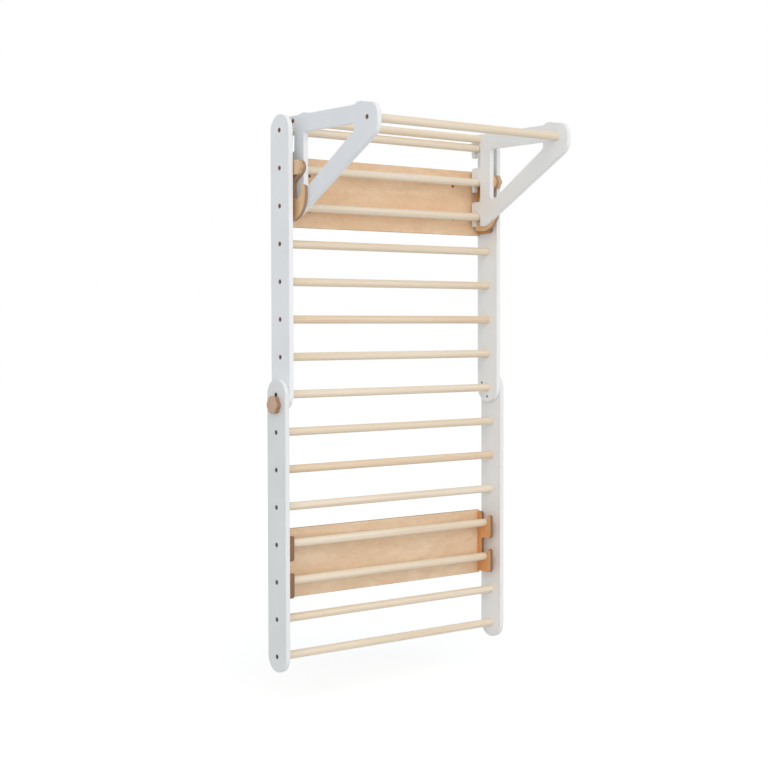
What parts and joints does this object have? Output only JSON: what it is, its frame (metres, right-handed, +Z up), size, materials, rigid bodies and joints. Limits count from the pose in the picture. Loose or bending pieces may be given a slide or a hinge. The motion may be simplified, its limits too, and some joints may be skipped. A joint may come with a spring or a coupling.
{
  "type": "wall bars",
  "caption": "Folding wall bars with round rungs between painted side planks, hung on two hook boards, with a lift-off pull-up frame held by swinging latches.",
  "frame": {"origin": "middle of the back face of the upper wall board, on the wall", "axes": "+Z up, +Y into the wall, +X to the right for a person who faces the wall"},
  "size_m": [1.0192, 0.5135, 1.8605],
  "materials": {
    "white_paint": "white satin paint on birch plywood",
    "rung_birch": "clear satin varnish on solid birch dowel",
    "board_birch": "clear satin varnish on birch plywood, rotary cut face",
    "hook_birch": "clear satin varnish on birch plywood, darker laser or router cut edges",
    "zinc": "bright zinc plate",
    "bronze_screw": "dark bronze phosphate"
  },
  "bodies": {
    "upper_wall_mount": {"upper_mount_board": "board_birch", "upper_mount_cheek_left": "hook_birch", "upper_mount_cheek_right": "hook_birch", "upper_wall_screw_upper_left": "bronze_screw", "upper_wall_screw_lower_left": "bronze_screw", "upper_wall_screw_upper_right": "bronze_screw", "upper_wall_screw_lower_right": "bronze_screw"},
    "upper_section": {"rung_00": "rung_birch", "rung_01": "rung_birch", "rung_02": "rung_birch", "rung_03": "rung_birch", "rung_04": "rung_birch", "rung_05": "rung_birch", "rung_06": "rung_birch", "rung_07": "rung_birch", "upper_stile_left": "white_paint", "upper_stile_right": "white_paint", "pivot_bolt_left": "zinc", "pivot_bolt_right": "zinc", "straight_lock_sleeve_left": "zinc", "straight_lock_sleeve_right": "zinc", "folded_lock_sleeve_left": "zinc", "folded_lock_sleeve_right": "zinc"},
    "lower_section": {"rung_08": "rung_birch", "rung_09": "rung_birch", "rung_10": "rung_birch", "rung_11": "rung_birch", "rung_12": "rung_birch", "rung_13": "rung_birch", "rung_14": "rung_birch", "lower_stile_left": "white_paint", "lower_stile_right": "white_paint"},
    "lower_wall_mount": {"lower_mount_board": "board_birch", "lower_mount_cheek_left": "hook_birch", "lower_mount_cheek_right": "hook_birch", "lower_wall_screw_upper_left": "bronze_screw", "lower_wall_screw_lower_left": "bronze_screw", "lower_wall_screw_upper_right": "bronze_screw", "lower_wall_screw_lower_right": "bronze_screw"},
    "pull_up_frame": {"pull_up_bracket_left": "white_paint", "pull_up_bracket_right": "white_paint", "pull_up_bar": "rung_birch", "cross_bar": "rung_birch", "latch_sleeve_left": "zinc", "latch_sleeve_right": "zinc"},
    "latch_left": {"latch_plate_left": "hook_birch"},
    "latch_knob_left": {"latch_knob_left": "hook_birch", "latch_knob_stud_left": "zinc"},
    "fold_knob_left": {"fold_knob_left": "hook_birch", "fold_knob_stud_left": "zinc"},
    "latch_right": {"latch_plate_right": "hook_birch"},
    "latch_knob_right": {"latch_knob_right": "hook_birch", "latch_knob_stud_right": "zinc"},
    "fold_knob_right": {"fold_knob_right": "hook_birch", "fold_knob_stud_right": "zinc"}
  },
  "joints": [
    {"name": "ladder_lift", "type": "slide", "parent": "upper_wall_mount", "child": "upper_section", "axis": [0, 0, 1], "range_m": [0, 0.045]},
    {"name": "mid_fold", "type": "hinge", "parent": "upper_section", "child": "lower_section", "pos_m": [0, -0.0535, -0.6768], "axis": [1, 0, 0], "range_deg": [0, 120]},
    {"name": "lower_mount_slide", "type": "slide", "parent": "lower_section", "child": "lower_wall_mount", "axis": [0, 0, -1], "range_m": [0, 0.045]},
    {"name": "frame_lift", "type": "slide", "parent": "upper_section", "child": "pull_up_frame", "axis": [0, 0, 1], "range_m": [0, 0.053]},
    {"name": "latch_swing_left", "type": "hinge", "parent": "pull_up_frame", "child": "latch_left", "pos_m": [-0.43, -0.1135, 0.0732], "axis": [-1, 0, 0], "range_deg": [0, 50]},
    {"name": "latch_swing_right", "type": "hinge", "parent": "pull_up_frame", "child": "latch_right", "pos_m": [0.43, -0.1135, 0.0732], "axis": [-1, 0, 0], "range_deg": [0, 50]},
    {"name": "latch_knob_turn_left", "type": "hinge", "parent": "pull_up_frame", "child": "latch_knob_left", "pos_m": [-0.444, -0.1135, 0.0732], "axis": [1, 0, 0], "continuous": true},
    {"name": "latch_knob_turn_right", "type": "hinge", "parent": "pull_up_frame", "child": "latch_knob_right", "pos_m": [0.444, -0.1135, 0.0732], "axis": [1, 0, 0], "continuous": true},
    {"name": "fold_knob_turn_left", "type": "hinge", "parent": "lower_section", "child": "fold_knob_left", "pos_m": [-0.5, -0.0535, -0.7098], "axis": [1, 0, 0], "continuous": true},
    {"name": "fold_knob_turn_right", "type": "hinge", "parent": "lower_section", "child": "fold_knob_right", "pos_m": [0.5, -0.0535, -0.7098], "axis": [1, 0, 0], "continuous": true}
  ],
  "couplings": [
    {"joint": "lower_mount_slide", "follows": "ladder_lift", "ratio": 1},
    {"joint": "latch_swing_left", "follows": "frame_lift", "rad_per_m": 16.4},
    {"joint": "latch_swing_right", "follows": "frame_lift", "rad_per_m": 16.4}
  ]
}
